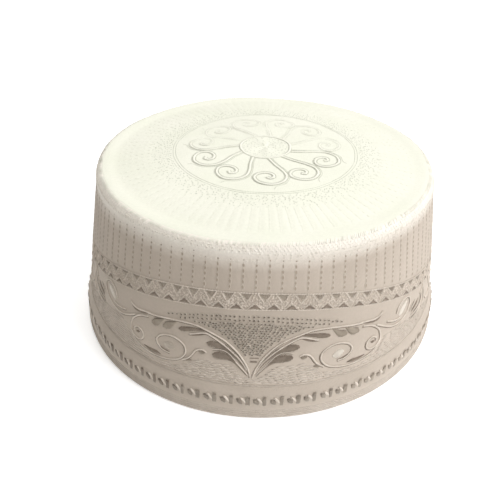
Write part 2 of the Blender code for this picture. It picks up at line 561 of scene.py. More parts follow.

# threads are (tone, deeper tone, roughness, sheen, painted shade tone at the bottom of a dip)
threadLooks = {
    "pale": ((0.70, 0.62, 0.53), (0.60, 0.525, 0.44)),
    "pad": ((0.79, 0.73, 0.64), (0.72, 0.66, 0.57)),
    "cloth": ((0.59, 0.52, 0.435), (0.51, 0.445, 0.365)),
    "foot": ((0.60, 0.53, 0.45), (0.51, 0.445, 0.37)),
    # the roll thread's pale tone is painted highlight of the shoulder, which turns up to the light
    "roll": ((0.87, 0.825, 0.73), (0.74, 0.69, 0.60)),
    "cream": ((0.83, 0.815, 0.705), (0.785, 0.775, 0.66)),
    "taupe": ((0.30, 0.242, 0.184), (0.22, 0.173, 0.13), 0.6, 0.2),
    "softTaupe": ((0.395, 0.335, 0.262), (0.305, 0.252, 0.195), 0.6, 0.2),
    "haze": ((0.33, 0.28, 0.222), (0.25, 0.209, 0.163), 0.6, 0.2),
    # deep: the hem teeth's thread on the shaded left, darker as painted shade
    "deep": ((0.27, 0.217, 0.165), (0.20, 0.157, 0.118), 0.6, 0.2),
    "olive": ((0.65, 0.66, 0.55), (0.57, 0.58, 0.475)),
    "eyelet": ((0.58, 0.52, 0.44), (0.52, 0.46, 0.385), 0.8, 0.05, (0.175, 0.14, 0.104)),
    "softEyelet": ((0.56, 0.49, 0.41), (0.51, 0.44, 0.365), 0.8, 0.05, (0.365, 0.30, 0.232)),
    # the rim eyelets' pale tone is painted highlight of the shoulder as well
    "rimEyelet": ((0.81, 0.752, 0.655), (0.735, 0.672, 0.577), 0.7, 0.2, (0.65, 0.595, 0.515)),
}
threads = {label: threadMaterial(label + "Thread", *look) for label, look in threadLooks.items()}
print("materials ready")

# the threads sewn on each cloth
sewn = {}


def dressPiece(piece, slot, *nodes):
    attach(piece, "root")
    if nodes:
        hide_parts(*nodes)
    else:
        sewn.setdefault(slot, []).append(piece)
    return piece


# cloth pieces: each point of a section is (radius, height, outward push, quilting share, upward push)
def still(radius, height):
    return radius, height, 0.0, 0.0, 0.0


def turnPiece(name, section, style, cloth, slot, node, aboveBorder=0.0):
    length = sum(math.dist(a[:2], b[:2]) for a, b in zip(section, section[1:]))
    widest = max(point[0] for point in section)
    places = [(point[0] * mm, 0.0, point[1] * mm) for point in section]
    guide = newGuide(name + "Guide", places, push=[point[2:] for point in section])
    piece = growPiece(name, guide, turnedCloth, {
        "Columns": style["columns"], "Rows": len(section), "Around": 2 * math.pi * widest * mm,
        "Across": length * mm, "Sewn Rows": cap["sewnRows"], "Quilting": style.get("quilting", 0.0) * mm,
        "Above Border": aboveBorder, "Unevenness": style["unevenness"] * mm, "Grain": style["grain"],
        "Cloth": cloth}, closed=True)
    return dressPiece(piece, slot, node)


sideCloth = {"columns": 510, "pace": 1.2, "insidePace": 12.0, "quilting": 0.1, "quiltTo": (71.0, 73.5),
             "unevenness": 0.2, "grain": 260.0}


def sideSection():
    outer = [(sideRadius(h), h, 1.0, 1 - ease(h, *sideCloth["quiltTo"]), cap["tilt"])
             for h in steps(cap["sideFoot"], cap["sideTop"], sideCloth["pace"])]
    inner = [still(sideRadius(h) - cap["wallCloth"], h)
             for h in reversed(steps(cap["sideFoot"], cap["sideTop"], sideCloth["insidePace"]))]
    return outer + inner + outer[:1]


sideWall = turnPiece("sideWall", sideSection(), sideCloth, sideCotton, "side_cloth", "side_wall", 1.0)

hemCloth = {"columns": 360, "cloth": 1.0, "outside": 17.2, "inside": 8.0, "fadeFrom": 12.6, "thinned": 0.9,
            "fold": 0.4, "nip": 0.12, "unevenness": 0.16, "grain": 300.0}


def hemSection():
    cloth, gap, fold, nip = hemCloth["cloth"], cap["gap"], hemCloth["fold"], hemCloth["nip"]
    top = hemCloth["outside"]
    out = []
    for height in steps(fold, top, 1.1):
        proud = (gap + cloth) * (1 - hemCloth["thinned"] * ease(height, hemCloth["fadeFrom"], top))
        out.append((sideRadius(height) + proud, height, 1.0, 0.0, 0.0))
    back = [still(sideRadius(top) - 0.1, top)]
    back += [still(sideRadius(h) + min(gap, (15.5 - h) * 0.1), h) for h in (15.0, 12.0, cloth)]
    within = [still(sideRadius(h) - cap["wallCloth"] - gap, h) for h in (cloth, hemCloth["inside"])]
    face = [still(sideRadius(h) - cap["wallCloth"] - gap - cloth, h)
            for h in steps(hemCloth["inside"], fold, 2.0)]
    inFoot, outFoot = sideRadius(0) - cap["wallCloth"] - gap - cloth, sideRadius(0) + gap + cloth
    under = [still(inFoot + nip, nip), still(inFoot + fold, 0.0), still(outFoot - fold, 0.0),
             still(outFoot - nip, nip)]
    return out + back + within + face + under + out[:1]


hemStrip = turnPiece("hemStrip", hemSection(), hemCloth, hemCotton, "hem_cloth", "hem_strip")

rollFoot = cap["sideTop"] + cap["gap"]
rollCloth = {"columns": 480, "unevenness": 0.12, "grain": 300.0, "proud": 0.1, "outRound": 3.3,
             "inRound": 1.3, "inDrop": 0.3, "feather": ((71.6, -0.3), (73.2, -0.04), (74.7, 0.06))}


def rollSpot(degrees, lift=0.0):
    # a place on the roll's round outside, from level at 0 to its crest at 90
    angle = math.radians(degrees)
    crest = sideRadius(cap["sideTop"]) + rollCloth["proud"] - rollCloth["outRound"]
    return (crest + (rollCloth["outRound"] + lift) * math.cos(angle),
            rollFoot + (cap["rollTop"] - rollFoot + lift) * math.sin(angle))


def rollSection():
    points = [(sideRadius(h) + proud, h, 1.0, 0.0, 0.0) for h, proud in rollCloth["feather"]]
    for degrees in steps(0, 90, 10):
        angle = math.radians(degrees)
        points.append((*rollSpot(degrees), math.cos(angle), 0.0, math.sin(angle)))
    crest, inRound = rollSpot(90)[0], rollCloth["inRound"]
    for degrees in steps(112.5, 180, 22.5):
        angle = math.radians(degrees)
        points.append((crest + inRound * math.cos(angle),
                       cap["rollTop"] - rollCloth["inDrop"] - inRound * (1 - math.sin(angle)), 0.0, 0.0, 0.3))
    points.append(still(crest - inRound, rollCloth["feather"][0][0]))
    return points + points[:1]


turnPiece("edgeRoll", rollSection(), rollCloth, rollCotton, "roll_thread", "edge_roll")

topCloth = {"columns": 408, "pace": 1.5, "underPace": 12.0, "quilting": 0.12, "unevenness": 0.2,
            "grain": 160.0, "rowsFrom": 55.0, "rowsTo": 72.0, "lip": 0.97, "lipFrom": 70.0, "under": 2.1}


def topSection():
    # the rim runs on under the roll, so that no gap shows
    rim, thick = cap["rim"] + topCloth["under"], cap["topCloth"]
    crown = rim - 0.6
    upper = []
    for radius in steps(0.0, crown - 0.15, topCloth["pace"]) + [crown]:
        rows = ease(radius, topCloth["rowsFrom"] - 1, topCloth["rowsFrom"] + 1.5)
        rows *= 1 - ease(radius, topCloth["rowsTo"] - 1, topCloth["rowsTo"] + 0.5)
        lip = topCloth["lip"] * ease(radius, topCloth["lipFrom"], crown)
        upper.append((radius, domeHeight(radius) + lip, 0.0, rows, 1.0 if radius > 0 else 0.0))
    edge = [still(rim, cap["rimHeight"] - 0.6), still(rim, cap["rimHeight"] - 1.4)]
    lower = [still(radius, domeHeight(radius) - thick) for radius in steps(crown, 0.0, topCloth["underPace"])]
    return upper + edge + lower


crownTop = turnPiece("crownTop", topSection(), topCloth, topCotton, "top_cloth", "crown_top")
print("cloth pieces done")


# charts: one half of the front, mirrored to the other half and repeated at the back
def sideDrop(turn):
    # the wearer's right side of the pattern sits a little higher than the left past the spirals
    return 2.7 * ease(abs(turn), 37.0, 49.0)


def worn(turn):
    # threads are worn flatter where the cap is widest, at its two sides
    return 1 - 0.6 * ease(abs(math.sin(math.radians(turn))), 0.9, 1.0)


def halves(points, sides=(1, -1)):
    for flip in sides:
        for back in (0, 180):
            yield [(flip * turn + back, height + (sideDrop(turn) if flip < 0 else 0.0), *more)
                   for turn, height, *more in points]


def rounded(points, pace=0.8):
    # a smooth curve through charted points, sampled about every pace mm
    knots = [Vector((turn * cap["degree"], height, *(more or [1.0])[:1])) for turn, height, *more in points]
    knots = [2 * knots[0] - knots[1]] + knots + [2 * knots[-1] - knots[-2]]
    result = []
    for p, a, b, q in zip(knots, knots[1:], knots[2:], knots[3:]):
        count = max(int((b - a).length / pace), 2)
        for i in range(count):
            t = i / count
            result.append(0.5 * (2 * a + (b - p) * t + (2 * p - 5 * a + 4 * b - q) * t * t
                                 + (3 * a - p - 3 * b + q) * t ** 3))
    return [(spot[0] / cap["degree"], spot[1], spot[2]) for spot in result + [knots[-2]]]


def wallLines(charts, lift, sides=(1, -1), bySize=False):
    # charted lines as guide points on the side
    lines = []
    for chart in charts:
        for half in halves(rounded(chart), sides):
            line = []
            for turn, height, share in half:
                size = (share, 1, min(share, 1.0) * worn(turn)) if bySize else (1, share, share * worn(turn))
                line.append(wallPoint(turn, height, lift, size))
            lines.append(line)
    return lines


def satinLines(charts, lift, sides=(1, -1)):
    return wallLines([[(turn, height, 2 * half) for turn, height, half in chart] for chart in charts],
                     lift, sides, bySize=True)


def paintedShadowLines(charts, aside, lift):
    # painted shadow: thin dark lines on the lower left of charted cords, fading where a cord turns upright
    lines = []
    for chart in charts:
        for half in halves(rounded(chart)):
            line, lastSide = [], 0
            for i, (turn, height, share) in enumerate(half):
                before, after = half[max(i - 1, 0)], half[min(i + 1, len(half) - 1)]
                run = Vector(((after[0] - before[0]) * cap["degree"], after[1] - before[1]))
                run = run.normalized() if run.length > 0 else Vector((1, 0))
                away = Vector((run.y, -run.x))
                shade = away.dot(Vector((-0.4, -0.92)))
                side = 1 if shade > 0 else -1
                if side != lastSide:
                    lines.append(line)
                    line = []
                lastSide = side
                turn, height = turn + side * away.x * aside / cap["degree"], height + side * away.y * aside
                bulk = max(abs(shade), 0.1) ** 0.5 * share
                line.append(wallPoint(turn, height, lift, (1, bulk, bulk * worn(turn))))
            lines.append(line)
    return [line for line in lines if len(line) > 1]


def sewLines(slot, name, lines, style, thread, stitch, seed, slant=None, unevenness=0.08):
    # style holds pitch, length, width and height in mm
    piece = growPiece(name, threadGuide(name + "Guide", lines), alongLine, {
        "Stitch": stitch, "Pitch": style["pitch"] * mm, "Length": style.get("length", 1.0) * mm,
        "Width": style["width"] * mm, "Height": style["height"] * mm,
        "Slant": math.radians(style.get("slant", 0.0) if slant is None else slant),
        "Unevenness": unevenness, "Seed": seed, "Thread": threads[thread]})
    return dressPiece(piece, slot)


def sewSpots(slot, name, points, thread, stitch, seed, unevenness=0.1):
    # points are (place, outward, along, size), the size in mm
    places, outs, alongs, sizes = zip(*points)
    guide = newGuide(name + "Guide", places, outward=outs, along=alongs, size=np.array(sizes) * mm)
    piece = growPiece(name, guide, onSpots,
                      {"Stitch": stitch, "Unevenness": unevenness, "Seed": seed, "Thread": threads[thread]})
    return dressPiece(piece, slot)


scroll = {
    "pitch": 0.66,
    "length": 1.35,
    "width": 0.84,
    "height": 0.7,
    "slant": 15.0,
    "stems": (
        ((0.3, 21.4, 0.35), (0.6, 23.6, 0.65), (1.25, 26.6, 0.85), (2.5, 30.4), (4.3, 34.2), (6.9, 38.0),
         (9.6, 40.3), (12.8, 42.1), (15.8, 43.3), (19.4, 43.3), (22.0, 42.9), (25.0, 42.3), (28.2, 41.5),
         (31.0, 41.0)),
        ((1.5, 25.8, 0.6), (2.9, 29.4, 0.8), (4.7, 32.6), (6.8, 35.5), (9.2, 38.0), (12.0, 40.3),
         (13.6, 40.5), (15.6, 39.5), (17.4, 38.4)),
        ((1.2, 23.0, 0.4), (2.3, 25.2, 0.65), (3.8, 28.0, 0.75), (5.4, 31.2, 0.6), (6.8, 33.3, 0.6),
         (8.6, 34.1, 0.6), (10.6, 33.6, 0.4)),
        ((30.9, 41.3), (33.0, 40.8), (35.2, 40.3), (37.2, 40.7), (38.3, 41.9)),
    ),
    "loops": (
        ((27.5, 28.2), (25.9, 26.3), (23.8, 25.7)),
        ((27.5, 28.2), (28.0, 30.2), (27.0, 32.6), (25.0, 34.1), (23.0, 34.5), (21.0, 33.8), (19.3, 32.2),
         (18.6, 29.8), (18.9, 27.4), (20.1, 24.9), (22.0, 23.2), (25.4, 21.9), (29.2, 21.7), (32.8, 22.5),
         (35.3, 23.9), (37.0, 26.2), (37.8, 28.8), (37.8, 31.2), (37.3, 33.8), (36.1, 35.9), (34.2, 37.9),
         (31.6, 39.1)),
        ((37.2, 27.6), (36.4, 26.2), (34.8, 25.4), (33.3, 26.3), (32.7, 28.3), (33.3, 30.5), (34.9, 31.5),
         (36.2, 30.5), (36.3, 28.9)),
        ((12.8, 31.6), (13.6, 32.2), (15.0, 31.8), (16.0, 30.4), (17.0, 27.7), (18.2, 25.7), (19.4, 24.5)),
        ((36.6, 36.6), (38.9, 34.4), (41.4, 32.1), (44.0, 30.7), (46.8, 30.4), (49.4, 31.8), (51.2, 34.2),
         (52.0, 37.0), (51.5, 39.5), (49.6, 40.8), (47.2, 40.4), (45.6, 38.6), (45.0, 36.2)),
        ((40.8, 35.2), (42.6, 33.9), (44.4, 33.0), (46.2, 32.8)),
    ),
    "sideStems": (
        ((59.4, 34.6, 0.7), (61.4, 35.4), (62.3, 37.4), (62.9, 33.6), (63.2, 30.0),
         (62.6, 26.8), (61.0, 25.3)),
        ((52.4, 27.6, 0.6), (55.0, 27.5, 0.9), (58.0, 27.8, 0.9), (60.4, 28.8, 0.5)),
        ((53.2, 28.9, 0.6), (55.4, 29.5, 0.8), (57.6, 30.0, 0.8), (59.0, 31.4, 0.8), (59.6, 33.4, 0.5)),
        ((52.2, 31.2, 0.5), (52.5, 32.8, 0.7), (53.6, 34.0, 0.5)),
        ((68.0, 38.5), (68.8, 34.0), (70.4, 29.0), (72.8, 24.5)),
        ((64.8, 27.0), (66.4, 24.6), (68.6, 24.2), (70.2, 25.8)),
        ((80.4, 30.5), (82.6, 32.0), (85.0, 31.2), (85.6, 28.6), (83.8, 27.0), (81.8, 27.8)),
        ((73.6, 32.5), (76.0, 31.0), (78.6, 27.6), (82.0, 24.4), (86.0, 23.0), (90.0, 22.8)),
    ),
}

satin = {
    "pitch": 0.5,
    "width": 0.56,
    "height": 0.72,
    "slant": 74.0,
    # turn, height, half of the leaf's width
    "dark": (
        ((12.4, 36.0, 0.6), (11.8, 36.0, 1.6), (10.6, 36.0, 2.1), (9.0, 35.8, 2.2), (7.0, 34.8, 1.7),
         (5.2, 32.7, 1.15), (3.6, 30.0, 0.7), (2.2, 26.8, 0.3)),
        ((10.7, 31.0, 0.7), (10.2, 31.0, 1.8), (9.2, 31.1, 2.3), (7.4, 31.0, 2.3), (5.8, 30.2, 1.5),
         (4.3, 28.3, 0.8), (2.9, 25.6, 0.45), (1.3, 22.2, 0.15)),
        ((12.6, 41.7, 0.2), (14.4, 41.5, 0.65), (16.6, 40.9, 1.05), (18.6, 40.1, 1.4), (20.3, 39.5, 1.25),
         (20.9, 39.3, 0.6)),
        ((13.2, 39.8, 0.2), (15.0, 38.9, 0.55), (16.6, 38.2, 0.5), (17.8, 37.7, 0.15)),
        ((31.2, 40.6, 0.15), (33.0, 40.0, 0.5), (35.0, 39.5, 0.75), (36.6, 39.5, 0.7), (37.7, 40.3, 0.4),
         (38.2, 41.0, 0.15)),
        ((26.6, 23.1, 0.2), (28.0, 23.4, 0.95), (30.0, 23.3, 0.8), (32.2, 23.8, 0.25)),
        ((28.0, 28.5, 0.25), (26.8, 27.1, 0.65), (25.2, 26.3, 0.55), (23.6, 26.0, 0.2)),
        ((34.4, 29.1, 0.3), (34.9, 28.9, 0.9), (35.5, 28.7, 0.4)),
        ((54.8, 28.2, 0.2), (57.0, 28.8, 0.65), (58.8, 29.4, 0.65), (60.1, 30.8, 0.5), (60.6, 32.8, 0.2)),
        ((53.2, 30.0, 0.2), (54.8, 30.9, 0.6), (56.4, 31.5, 0.5), (57.8, 32.8, 0.2)),
    ),
    "soft": (
        ((21.9, 42.0, 0.35), (23.0, 40.6, 1.15), (24.1, 39.3, 2.0), (25.0, 38.6, 2.1), (26.0, 38.1, 0.9)),
        ((25.7, 41.5, 0.35), (26.8, 40.0, 1.15), (27.9, 38.7, 2.0), (28.9, 38.0, 2.1), (29.8, 37.5, 0.9)),
        ((13.2, 30.5, 0.5), (13.8, 30.5, 1.0), (14.5, 30.6, 0.5)),
        ((16.6, 25.4, 0.3), (17.5, 25.1, 0.85), (18.6, 24.6, 0.3)),
        ((52.8, 31.0, 0.15), (53.1, 32.2, 0.5), (54.2, 33.4, 0.45), (55.6, 34.4, 0.15)),
        ((52.8, 26.0, 0.15), (54.6, 26.3, 0.5), (56.6, 26.5, 0.5), (58.8, 27.0, 0.15)),
        ((75.6, 36.2, 0.15), (77.6, 37.0, 0.6), (79.6, 36.6, 0.2)),
        ((74.6, 28.0, 0.15), (75.6, 26.2, 0.6), (77.2, 24.4, 0.2)),
        ((83.4, 29.4, 0.3), (83.9, 29.4, 0.8), (84.4, 29.3, 0.3)),
    ),
    "mild": (
        ((22.2, 28.7, 0.7), (22.9, 28.9, 2.1), (23.8, 29.2, 2.5), (24.7, 29.5, 2.1), (25.3, 29.7, 0.7)),
    ),
    "pale": (
        ((46.0, 34.4, 0.7), (47.0, 35.4, 1.9), (48.6, 37.1, 2.1), (49.9, 38.4, 0.7)),
    ),
}

scrollCharts = scroll["stems"] + scroll["loops"] + scroll["sideStems"]
palePads = satinLines(satin["pale"], 0.0) + satinLines(satin["mild"], 0.0, (1,))
mildPads = satinLines(satin["mild"], 0.0, (-1,))
sewLines("side_cloth", "scrollCords", wallLines(scrollCharts, 0.12), scroll, "pale", cordStitch, 3)
sewLines("side_cloth", "satinLeaves", satinLines(satin["dark"], 0.05), satin, "taupe", satinStitch, 5)
sewLines("side_cloth", "softLeaves", satinLines(satin["soft"], 0.05), satin, "softTaupe", satinStitch, 6)
sewLines("side_cloth", "palePads", palePads, satin, "pad", satinStitch, 7)
sewLines("side_cloth", "mildPads", mildPads, satin, "cloth", satinStitch, 9)

# thin dark thread laid as the painted shadow of the pale cords, on their side away from the light
cordShadow = {"pitch": 0.85, "length": 1.3, "width": 0.6, "height": 0.36, "slant": 6.0, "aside": 0.6}
sewLines("side_cloth", "outlineThreads", paintedShadowLines(scrollCharts, cordShadow["aside"], 0.05), cordShadow, "taupe",
         cordStitch, 8)
print("scrolls done")

# the arched border; its chevrons are (shift, half of the width, height of the ends, height of the peak)
zigzag = {"pitch": 0.8, "length": 1.15, "width": 0.46, "height": 0.52, "slant": 8.0,
          "chevrons": ((0.0, 2.0, 0.2, 3.3), (0.5, 1.8, 7.1, 2.9))}
edgeCord = {"pitch": 1.15, "length": 1.5, "width": 0.52, "height": 0.44, "slant": 8.0}


def borderSpot(turn, above, lift):
    return wallPoint(turn, borderHeight(turn, above), lift * worn(turn), (1, 1, worn(turn)))


def borderRing(above, lift):
    return closedRing(lambda turn: borderSpot(turn, above, lift), 1.0)


def chevronLines(lift):
    # a pale cord over each low triangle and under each high one
    lines = []
    for index in range(border["chevrons"]):
        for shift, half, ends, peak in zigzag["chevrons"]:
            middle = (index + shift) * border["pitch"]
            lines.append([borderSpot(middle + half * step / 4, peak + (ends - peak) * abs(step) / 4, lift)
                          for step in range(-4, 5)])
    return lines


borderRings = [borderRing(border["height"], 0.15), borderRing(0.0, 0.1)]
sewLines("side_cloth", "borderCords", borderRings, edgeCord, "pale", seedStitch, 11)
sewLines("side_cloth", "zigzagCords", chevronLines(0.12), zigzag, "pale", cordStitch, 12)

triangles = {
    "half": 1.4,
    "raise": 0.38,
    "low": {"threads": 9, "tall": 1.9, "middle": 0.0, "wide": 1.0, "thick": 0.6, "thin": 0.0, "lean": 90},
    "high": {"threads": 6, "tall": 3.0, "middle": 0.54, "wide": 0.85, "thick": 0.51, "thin": 0.15,
             "lean": 104},
}


def triangleStitches(label):
    # upright satin threads, long in the middle and short at the ends
    style = triangles[label]
    points = []
    for index in range(border["chevrons"]):
        for thread in range(style["threads"]):
            part = (thread + 0.5) / style["threads"] * 2 - 1
            long = style["tall"] * (1 - abs(part)) + 0.3
            turn = (index + style["middle"]) * border["pitch"] + part * triangles["half"] * style["wide"]
            above = border["height"] - 0.4 - long / 2 if label == "high" else 0.25 + long / 2
            size = (long, style["thick"] - style["thin"] * part, triangles["raise"] * worn(turn))
            points.append(wallStitch(turn, borderHeight(turn, above), 0.06, style["lean"], size))
    return points


sewSpots("side_cloth", "lowTriangles", triangleStitches("low"), "taupe", satinStitch, 13)
sewSpots("side_cloth", "highTriangles", triangleStitches("high"), "softTaupe", satinStitch, 16)

stipple = {"perLeg": 29, "long": 1.0, "thick": 0.5, "raise": 0.56, "low": 0.7, "high": 6.8}


def stippleStitches():
    # seed stitches all over the border, but for the triangles
    chance = random.Random(14)
    points = []
    leg = border["pitch"] / 2
    for index in range(2 * border["chevrons"]):
        placed = 0
        while placed < stipple["perLeg"]:
            part, above = chance.uniform(0, 1), chance.uniform(stipple["low"], stipple["high"])
            turn = (index + part) * leg
            fromLow = (part if index % 2 == 0 else 1 - part) * leg
            if fromLow < triangles["half"] * (1.15 - above / 2.3):
                continue
            if leg - fromLow < triangles["half"] * (1.1 - (border["height"] - above) / 3.2):
                continue
            size = (stipple["long"], stipple["thick"], stipple["raise"] * worn(turn))
            points.append(wallStitch(turn, borderHeight(turn, above), 0.0, chance.uniform(-75, 75), size))
            placed += 1
    return points


sewSpots("side_cloth", "borderStipple", stippleStitches(), "pale", seedStitch, 15, unevenness=0.3)
print("border done")

# dot field in the V under the border; its edge is the height of the stems, away from the middle
field = {"top": 51.0, "fall": 0.0104, "size": 1.15, "deep": 0.4, "half": 24.5, "foot": 32.4, "clear": 0.2,
         "even": {"rows": 2, "pitch": 1.28, "spacing": 1.7, "loose": 0.16, "grow": 1.14, "shift": 0.0},
         "fine": {"rows": 17, "pitch": 1.0, "spacing": 1.04, "loose": 0.3, "grow": 1.0, "shift": 0.5},
         "edge": ((0.2, 28.0), (1.3, 31.0), (3.0, 34.8), (5.2, 38.2), (8.2, 41.2), (11.6, 43.4), (15.6, 44.7),
                  (20.0, 44.8), (27.0, 43.5)),
         "seed": (0.95, 0.42, 0.56)}


def fieldSpots():
    chance = random.Random(21)
    dips, seeds = [], []
    rows, below = [], 0.0
    for style in (field["even"], field["fine"]):
        for row in range(style["rows"]):
            rows.append((style, row, below))
            below += style["spacing"]
    for back in (0, 180):
        for style, row, below in rows:
            for column in range(-30, 31):
                turn = (column + style["shift"] * (row % 2)) * style["pitch"]
                height = field["top"] - field["fall"] * turn * turn - below
                edge = max(between(field["edge"], abs(turn)) + field["clear"], field["foot"])
                if abs(turn) > field["half"] or height < edge:
                    continue
                loose, size = style["loose"], field["size"] * style["grow"]
                turn += back + chance.uniform(-loose, loose)
                height += chance.uniform(-loose, loose)
                long = size * chance.uniform(0.85, 1.4)
                size = (long, size * 0.9, field["deep"])
                dips.append(wallStitch(turn, height, 0.0, chance.uniform(-45, 45), size))
                if style is field["fine"]:
                    stitch = wallStitch(turn, height, 0.0, chance.uniform(-50, 50), field["seed"])
                    seeds.append((onWall(turn + 0.5, height + 0.35, 0.06), *stitch[1:]))
    return dips, seeds


fieldDips, fieldSeeds = fieldSpots()
sewSpots("side_cloth", "dotField", fieldDips, "eyelet", eyelet, 22, unevenness=0.25)
sewSpots("side_cloth", "fieldStipple", fieldSeeds, "cloth", seedStitch, 23)

# upright bars under the field's point, in rows of middle, height, half of the row's width and length
bars = {"rows": ((0.4, 29.5, 0.8, 1.0), (0.5, 31.4, 1.1, 0.5), (0.5, 33.1, 0.9, 0.45)), "pace": 0.25,
        "thread": (0.42, 0.4)}


def barStitches():
    points = []
    for back in (0, 180):
        for middle, height, half, long in bars["rows"]:
            for turn in steps(middle - half, middle + half, bars["pace"]):
                points.append(wallStitch(turn + back, height, 0.04, 90, (long, *bars["thread"])))
    return points


sewSpots("side_cloth", "centreBars", barStitches(), "taupe", satinStitch, 24)
print("dot field done")

# sewn rows up the side, and their needle dips
backStitch = {"pitch": 2.3, "length": 1.5, "width": 0.4, "height": 0.1, "above": 1.3, "top": 76.5}
needleDip = {"pitch": 2.3, "length": 2.25, "width": 1.4, "height": 0.17}


def skinRadius(height):
    # the outermost cloth at that height: the side, then the roll from its lower edge up
    if height < rollFoot:
        rows = ((0.0, 0.0), (rollCloth["feather"][1][0], 0.0), *rollCloth["feather"][2:],
                (rollFoot, rollCloth["proud"]))
        return sideRadius(height) + between(rows, height)
    return rollSpot(math.degrees(math.asin(min((height - rollFoot) / (cap["rollTop"] - rollFoot), 1.0))))[0]


def rowLines(shift, lift):
    lines = []
    for row in range(cap["sewnRows"]):
        turn = row * 360.0 / cap["sewnRows"]
        foot = borderHeight(turn, border["height"]) + (backStitch["above"] + shift)
        line = []
        for i in range(int((backStitch["top"] - foot) / backStitch["pitch"]) + 1):
            height = foot + backStitch["pitch"] * i
            size = 1 - 0.6 * ease(height, 70.5, backStitch["top"])
            line.append(wallPoint(turn, height, 0.0, (size, size, size), skinRadius(height) + lift))
        lines.append(line)
    return lines


sewLines("side_cloth", "sideBackStitches", rowLines(0.0, 0.02), backStitch, "cloth", seedStitch, 31)
sewLines("side_cloth", "sideNeedleDips", rowLines(1.15, 0.02), needleDip, "softEyelet", eyelet, 32,
         unevenness=0.22)

# ground stitches below the scrolls: short wavy running stitches, up to a charted line
ground = {"pitch": 3.3, "length": 4.2, "width": 0.62, "height": 0.4, "low": 18.5, "rows": 12, "rise": 1.2,
          "wave": 0.22,
          "upTo": ((0.0, 20.2), (3.0, 21.6), (6.5, 26.6), (11.5, 28.2), (15.5, 26.0), (18.0, 22.4),
                   (21.0, 20.6), (29.0, 19.4), (34.0, 20.0), (37.0, 22.2), (39.0, 26.0), (40.5, 29.8),
                   (46.0, 28.8), (51.0, 27.8), (54.0, 25.2), (62.0, 24.2), (67.0, 22.6), (76.0, 22.8),
                   (90.0, 21.4))}


def groundLines():
    chance = random.Random(41)
    lines = []
    for row in range(ground["rows"]):
        for part in range(24):
            start = part * 15 + chance.uniform(-1.5, 1.5)
            line = []
            for turn in steps(start, start + 14.6, 0.8):
                wave = math.sin(math.radians(turn * 24) + 0.35 * row)
                wave += math.sin(math.radians(turn * 61) + 1.1)
                height = ground["low"] + row * ground["rise"] + ground["wave"] * wave
                fold = ((turn + 90) % 180) - 90
                rise = sideDrop(fold) * 0.8 if fold < 0 else 0.0
                if height > between(ground["upTo"], min(abs(fold), 90.0)) + rise:
                    lines.append(line)
                    line = []
                else:
                    line.append(wallPoint(turn, height, 0.02))
            lines.append(line)
    return [line for line in lines if len(line) > 1]


sewLines("side_cloth", "groundStitches", groundLines(), ground, "foot", seedStitch, 42, unevenness=0.1)

# hem: bounding cord, dark teeth, pale cords and running rows; sizes are length, width and height
hem = {"proud": 1.3, "degree": 1.6, "toothPitch": 4.5, "rows": (1.2, 2.3, 3.4, 4.5), "edge": 17.2}
hemRun = {"pitch": 1.5, "length": 3.5, "width": 0.5, "height": 0.44}
tooth = {"from": 1.6, "tall": 4.7, "wide": 0.72, "lean": -57.0, "thread": (0.6, 0.5), "middle": 9.3,
         "stroke": (7.4, 0.62, 0.42), "strokeHalf": 0.36, "strokeLean": 89.0, "strokeFrom": 3.75,
         "cord": (4.6, 1.2, 0.75), "cordAside": 1.8}


def hemStitch(turn, height, degrees, size):
    return wallStitch(turn, height, 0.0, degrees, size, sideRadius(height) + hem["proud"] + 0.02)


def hemTeeth():
    # a leaning oval and an upright stroke in turn, with a pale cord to the right of each oval
    chance = random.Random(50)
    dark, pale = [], []
    angle = math.radians(tooth["lean"])

    def leaning(start, aside, degrees, size):
        turn = start + tooth["from"] - math.sin(angle) * aside / hem["degree"]
        return hemStitch(turn, tooth["middle"] + math.cos(angle) * aside, degrees, size)

    for index in range(int(360 / hem["toothPitch"])):
        start = index * hem["toothPitch"] + chance.uniform(-0.15, 0.15)
        bulk = chance.uniform(0.75, 1.3)
        for part in steps(-1.0, 1.0, 1 / 3):
            long = tooth["tall"] * math.sqrt(1 - 0.8 * part * part)
            dark.append(leaning(start, part * tooth["wide"], tooth["lean"], (long, *tooth["thread"])))
        for part in steps(-1.0, 1.0, 2 / 3):
            turn = start + tooth["strokeFrom"] + part * tooth["strokeHalf"] * bulk
            dark.append(hemStitch(turn, tooth["middle"] + 0.1, tooth["strokeLean"], tooth["stroke"]))
        pale.append(leaning(start, tooth["cordAside"], tooth["lean"] + 4, tooth["cord"]))
    return dark, pale


def hemRing(height, proud):
    return closedRing(lambda turn: wallPoint(turn, height, radius=sideRadius(height) + proud), 2.0)


darkTeeth, paleTeeth = hemTeeth()
for name, low, high, thread, seed in (("hemTeeth", -34, 40, "haze", 51), ("deepTeeth", -99, -34, "deep", 55),
                                      ("fadedTeeth", 40, 99, "softTaupe", 54)):
    # painted light: darker thread on the shaded left of the hem, paler thread on the lit right
    part = [spot for spot in darkTeeth if low * mm <= spot[0].x < high * mm]
    sewSpots("hem_cloth", name, part, thread, runStitch, seed)
sewSpots("hem_cloth", "hemTeethCords", paleTeeth, "pale", satinStitch, 52)
hemLines = [hemRing(height, hem["proud"]) for height in hem["rows"]] + [hemRing(hem["edge"], 0.15)]
sewLines("hem_cloth", "hemRows", hemLines, hemRun, "foot", seedStitch, 53, unevenness=0.04)
print("hem done")

# rim: fine thread whipped over the edge, and rows of short slanting stitches on the shoulder
whip = {"count": 560, "width": 0.62, "thick": 0.18, "slant": 0.9, "around": 5, "ends": 0.35,
        "unevenness": 0.12,
        "path": ((79.6, 80.74), (79.1, 81.05), (78.5, 81.34), (77.85, 81.38), (77.2, 81.15))}
shoulder = {"pitch": 1.6, "length": 1.1, "width": 0.5, "height": 0.24,
            "rows": ((22.0, 40.0), (36.0, -50.0), (48.0, 50.0), (60.0, -40.0))}


